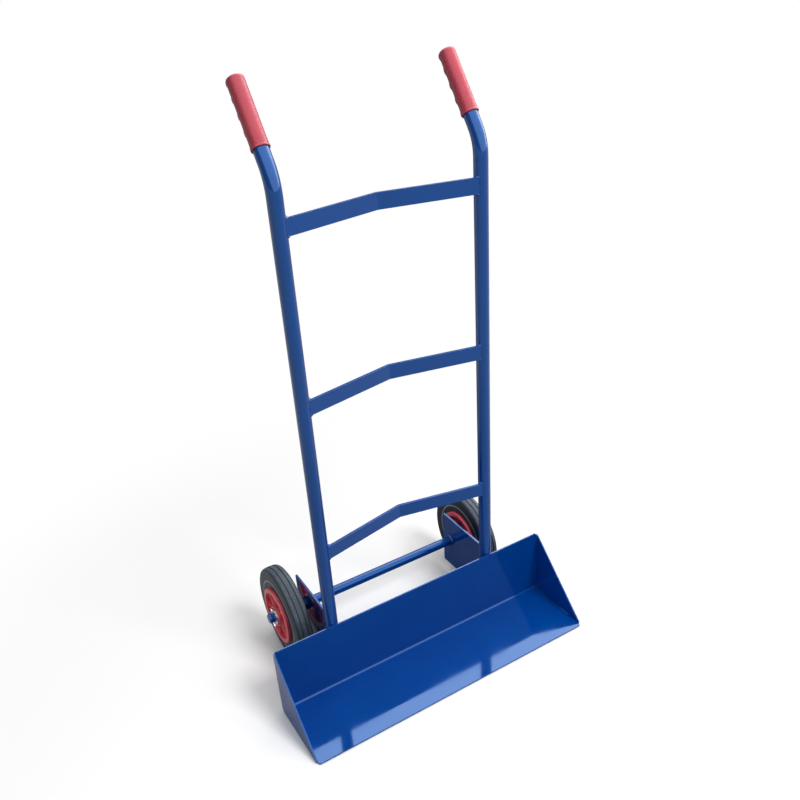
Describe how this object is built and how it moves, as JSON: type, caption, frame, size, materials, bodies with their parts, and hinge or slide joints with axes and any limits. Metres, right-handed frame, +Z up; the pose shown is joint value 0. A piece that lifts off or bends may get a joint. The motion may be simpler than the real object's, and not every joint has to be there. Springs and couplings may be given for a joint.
{
  "type": "chair trolley",
  "caption": "Two-wheeled upright trolley for stacked chairs: a bent tube frame with kinked rungs, a folded sheet toe tray, finger-grip handles and rubber-tyred wheels on a through axle.",
  "frame": {"origin": "on the floor at the middle of the toe tray's underside", "axes": "+Z up, -Y out of the tray's open front, +Y towards the wheels, X across the trolley"},
  "size_m": [0.628, 0.3981, 1.1294],
  "materials": {
    "blue_enamel": "gloss blue enamel over welded steel",
    "zinc_plate": "bright zinc-plated steel",
    "red_pvc": "satin dip-moulded PVC",
    "black_rubber": "solid moulded rubber, dull with dust on the tread",
    "red_moulding": "moulded polypropylene, semi-gloss",
    "natural_nylon": "moulded nylon",
    "bearing_steel": "ground steel"
  },
  "bodies": {
    "frame": {"toe_tray": "blue_enamel", "axle": "blue_enamel", "bottom_rung": "blue_enamel", "middle_rung": "blue_enamel", "top_rung": "blue_enamel", "left_end_gusset": "blue_enamel", "right_end_gusset": "blue_enamel", "left_upright": "blue_enamel", "right_upright": "blue_enamel", "left_axle_plate": "blue_enamel", "right_axle_plate": "blue_enamel", "left_spacer": "blue_enamel", "right_spacer": "blue_enamel", "left_inner_washer": "zinc_plate", "right_inner_washer": "zinc_plate", "left_outer_washer": "zinc_plate", "right_outer_washer": "zinc_plate", "left_split_pin": "zinc_plate", "right_split_pin": "zinc_plate", "left_grip": "red_pvc", "right_grip": "red_pvc"},
    "left_wheel": {"left_tyre": "black_rubber", "left_wheel_centre": "red_moulding"},
    "left_bearing": {"left_roller_cage": "natural_nylon", "left_rollers": "bearing_steel"},
    "right_wheel": {"right_tyre": "black_rubber", "right_wheel_centre": "red_moulding"},
    "right_bearing": {"right_roller_cage": "natural_nylon", "right_rollers": "bearing_steel"}
  },
  "joints": [
    {"name": "left_wheel_spin", "type": "hinge", "parent": "frame", "child": "left_wheel", "pos_m": [-0.227, 0.2211, 0.1], "axis": [1, 0, 0], "continuous": true},
    {"name": "left_cage_turn", "type": "hinge", "parent": "frame", "child": "left_bearing", "pos_m": [-0.227, 0.2211, 0.1], "axis": [1, 0, 0], "continuous": true},
    {"name": "right_wheel_spin", "type": "hinge", "parent": "frame", "child": "right_wheel", "pos_m": [0.227, 0.2211, 0.1], "axis": [1, 0, 0], "continuous": true},
    {"name": "right_cage_turn", "type": "hinge", "parent": "frame", "child": "right_bearing", "pos_m": [0.227, 0.2211, 0.1], "axis": [1, 0, 0], "continuous": true}
  ],
  "couplings": [
    {"joint": "left_cage_turn", "follows": "left_wheel_spin", "ratio": 0.6025},
    {"joint": "right_cage_turn", "follows": "right_wheel_spin", "ratio": 0.6025}
  ]
}
